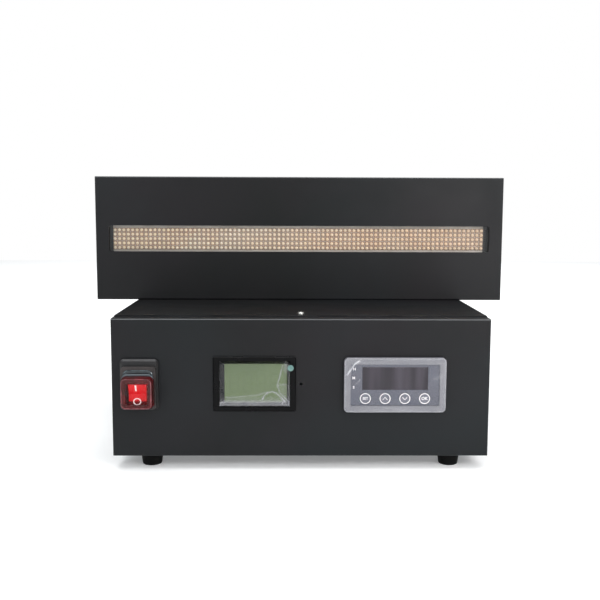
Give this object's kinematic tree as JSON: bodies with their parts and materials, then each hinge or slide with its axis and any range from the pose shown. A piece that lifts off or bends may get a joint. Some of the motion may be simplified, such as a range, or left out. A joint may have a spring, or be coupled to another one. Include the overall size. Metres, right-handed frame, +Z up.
{
  "type": "ultraviolet led curing lamp with control cabinet",
  "caption": "Long ultraviolet LED line lamp in a black sheet-metal housing, resting on its control cabinet with rocker switch, display meter and key-pad controller.",
  "frame": {"origin": "on the floor under the middle of the cabinet", "axes": "+X to the operator's right, +Y to the back, +Z up"},
  "size_m": [0.364, 0.352, 0.2302],
  "materials": {
    "black_powder_coat": "fine matt powder coat",
    "black_plastic": "moulded",
    "boot_plastic": "soft clear vinyl, tinted by the switch behind it",
    "red_plastic": "clear red",
    "switch_plastic": "moulded",
    "black_rubber": "matt",
    "screw_steel": "plated",
    "black_screws": "blackened",
    "zinc_sheet": "zinc plated",
    "meter_glass": "grey-green display",
    "film": "clear shipping film",
    "controller_grey": "dark grey",
    "face_print": "printed face",
    "smoked_window": "smoked",
    "key_plastic": "matt keys",
    "circuit_board": "green laminate with its parts",
    "brass_pins": "nickel-plated brass",
    "socket_metal": "satin plated",
    "wire_steel": "bright plated wire",
    "wire_insulation": "vinyl",
    "aluminium": "plain",
    "black_anodised": "black",
    "quartz": "polished quartz",
    "led_white": "ceramic bodies with clear domes",
    "led_board": "copper-core board"
  },
  "bodies": {
    "cabinet": {"front_panel": "black_powder_coat", "rear_panel": "black_powder_coat", "base_plate": "zinc_sheet", "top_cover": "black_powder_coat", "cover_screws": "screw_steel", "foot_front_left": "black_rubber", "foot_back_left": "black_rubber", "foot_front_right": "black_rubber", "foot_back_right": "black_rubber", "foot_screws": "screw_steel", "switch_frame": "switch_plastic", "switch_boot": "boot_plastic", "switch_body": "switch_plastic", "switch_terminals": "brass_pins", "meter_bezel": "black_plastic", "meter_glass": "meter_glass", "meter_case": "black_plastic", "meter_board": "circuit_board", "meter_film": "film", "controller_case": "controller_grey", "controller_face": "face_print", "controller_window": "smoked_window", "controller_board": "circuit_board", "controller_clips": "black_plastic", "controller_film": "film", "mains_inlet": "black_plastic", "inlet_pins": "brass_pins", "output_sockets": "socket_metal", "rear_screws": "screw_steel", "cabinet_fan_frame": "black_plastic", "cabinet_fan_guard": "wire_steel", "power_supply_trays": "aluminium", "power_supply_covers": "zinc_sheet", "power_supply_parts": "circuit_board", "control_board": "circuit_board", "cabinet_wiring": "wire_insulation"},
    "lamp_head": {"lamp_shell": "black_powder_coat", "lamp_end_left": "black_anodised", "lamp_end_right": "black_anodised", "lamp_rear_cover": "black_powder_coat", "lamp_screws": "black_screws", "quartz_window": "quartz", "window_frame": "black_anodised", "led_boards": "led_board", "led_packages": "led_white", "heat_sink": "aluminium", "thermal_switch": "aluminium", "lamp_sockets": "socket_metal", "lamp_fan_frames": "black_plastic", "lamp_fan_guards": "wire_steel"},
    "rocker": {"switch_rocker": "red_plastic"},
    "fuse_holder": {"fuse_drawer": "black_plastic"},
    "cabinet_fan": {"cabinet_fan_rotor": "black_plastic"},
    "lamp_fan_1": {"lamp_fan_rotor_1": "black_plastic"},
    "lamp_fan_2": {"lamp_fan_rotor_2": "black_plastic"},
    "lamp_fan_3": {"lamp_fan_rotor_3": "black_plastic"},
    "key_set_cap": {"key_set": "key_plastic"},
    "key_up_cap": {"key_up": "key_plastic"},
    "key_down_cap": {"key_down": "key_plastic"},
    "key_ok_cap": {"key_ok": "key_plastic"}
  },
  "joints": [
    {"name": "lamp_lift", "type": "slide", "parent": "cabinet", "child": "lamp_head", "axis": [0, 0, 1], "range_m": [0, 0.12]},
    {"name": "switch_rocker_turn", "type": "hinge", "parent": "cabinet", "child": "rocker", "pos_m": [-0.1245, -0.165, 0.063], "axis": [-1, 0, 0], "range_deg": [0, 20]},
    {"name": "fuse_drawer_pull", "type": "slide", "parent": "cabinet", "child": "fuse_holder", "axis": [0, 1, 0], "range_m": [0, 0.02]},
    {"name": "cabinet_fan_spin", "type": "hinge", "parent": "cabinet", "child": "cabinet_fan", "pos_m": [0.078, 0.146, 0.065], "axis": [0, 1, 0], "continuous": true},
    {"name": "lamp_fan_1_spin", "type": "hinge", "parent": "lamp_head", "child": "lamp_fan_1", "pos_m": [-0.13, 0.064, 0.1752], "axis": [0, 1, 0], "continuous": true},
    {"name": "lamp_fan_2_spin", "type": "hinge", "parent": "lamp_head", "child": "lamp_fan_2", "pos_m": [-0.035, 0.064, 0.1752], "axis": [0, 1, 0], "continuous": true},
    {"name": "lamp_fan_3_spin", "type": "hinge", "parent": "lamp_head", "child": "lamp_fan_3", "pos_m": [0.06, 0.064, 0.1752], "axis": [0, 1, 0], "continuous": true},
    {"name": "key_set_press", "type": "slide", "parent": "cabinet", "child": "key_set_cap", "axis": [0, 1, 0], "range_m": [0, 0.0006], "stiffness_N_per_m": 300},
    {"name": "key_up_press", "type": "slide", "parent": "cabinet", "child": "key_up_cap", "axis": [0, 1, 0], "range_m": [0, 0.0006], "stiffness_N_per_m": 300},
    {"name": "key_down_press", "type": "slide", "parent": "cabinet", "child": "key_down_cap", "axis": [0, 1, 0], "range_m": [0, 0.0006], "stiffness_N_per_m": 300},
    {"name": "key_ok_press", "type": "slide", "parent": "cabinet", "child": "key_ok_cap", "axis": [0, 1, 0], "range_m": [0, 0.0006], "stiffness_N_per_m": 300}
  ]
}
